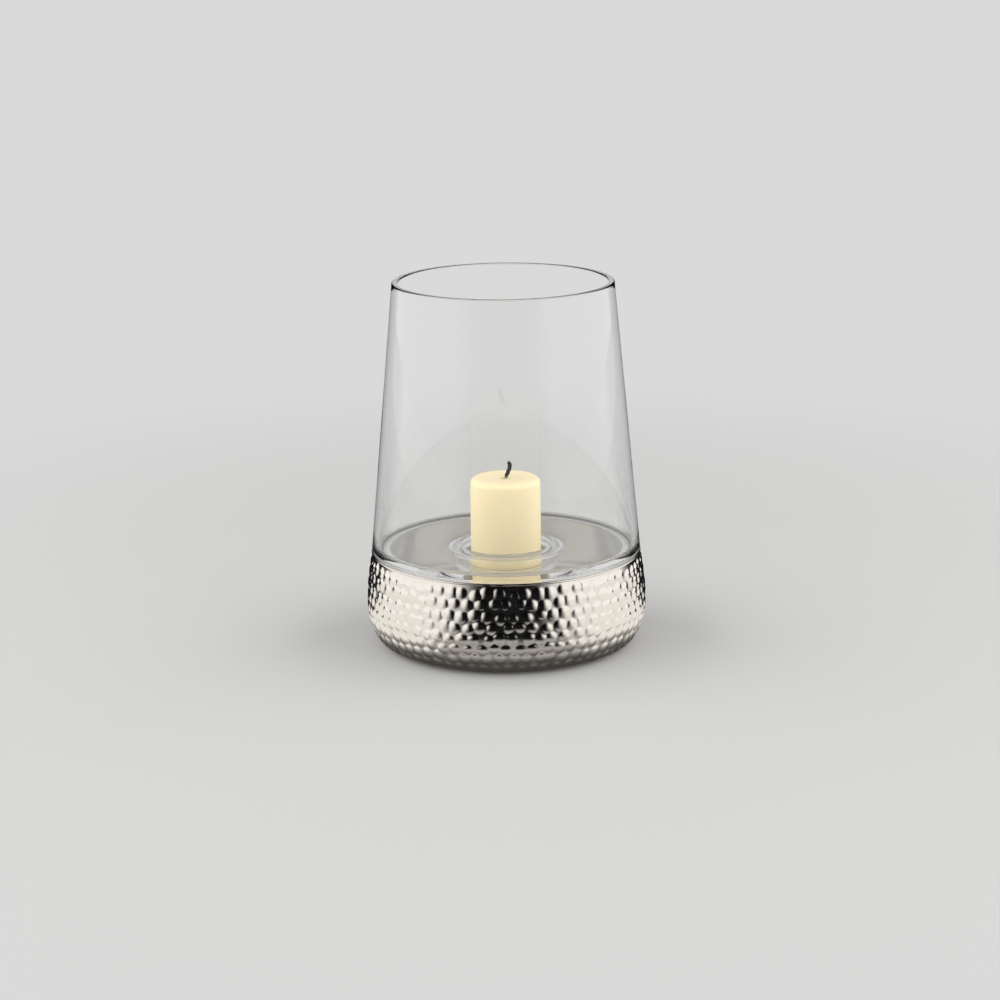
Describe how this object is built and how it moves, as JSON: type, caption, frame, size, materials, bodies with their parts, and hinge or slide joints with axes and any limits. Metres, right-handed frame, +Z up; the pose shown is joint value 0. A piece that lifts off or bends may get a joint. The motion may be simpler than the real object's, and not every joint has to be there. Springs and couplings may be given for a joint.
{
  "type": "hurricane candle holder",
  "caption": "Table hurricane: a hammered metal bowl with a turned-in rim carries a tapered clear glass, whose closed floor has a well that holds a pillar candle.",
  "frame": {"origin": "on the table, under the centre of the bowl", "axes": "+Z up along the axis of the bowl and the glass"},
  "size_m": [0.1998, 0.1998, 0.26],
  "materials": {
    "nickel": "polished nickel plate over a hammered surface",
    "clear_glass": "clear polished blown glass",
    "wax": "smooth ivory wax with a soft sheen",
    "wick": "charred braided cotton",
    "felt": "dark pressed felt"
  },
  "bodies": {
    "bowl": {"hammered_bowl": "nickel", "felt_pad_1": "felt", "felt_pad_2": "felt", "felt_pad_3": "felt", "felt_pad_4": "felt"},
    "glass": {"hurricane_glass": "clear_glass"},
    "candle": {"pillar_candle": "wax", "candle_wick": "wick"}
  },
  "joints": [
    {"name": "glass_lift", "type": "slide", "parent": "bowl", "child": "glass", "axis": [0, 0, 1], "range_m": [0, 0.12]},
    {"name": "candle_lift", "type": "slide", "parent": "glass", "child": "candle", "axis": [0, 0, 1], "range_m": [0, 0.22]}
  ]
}
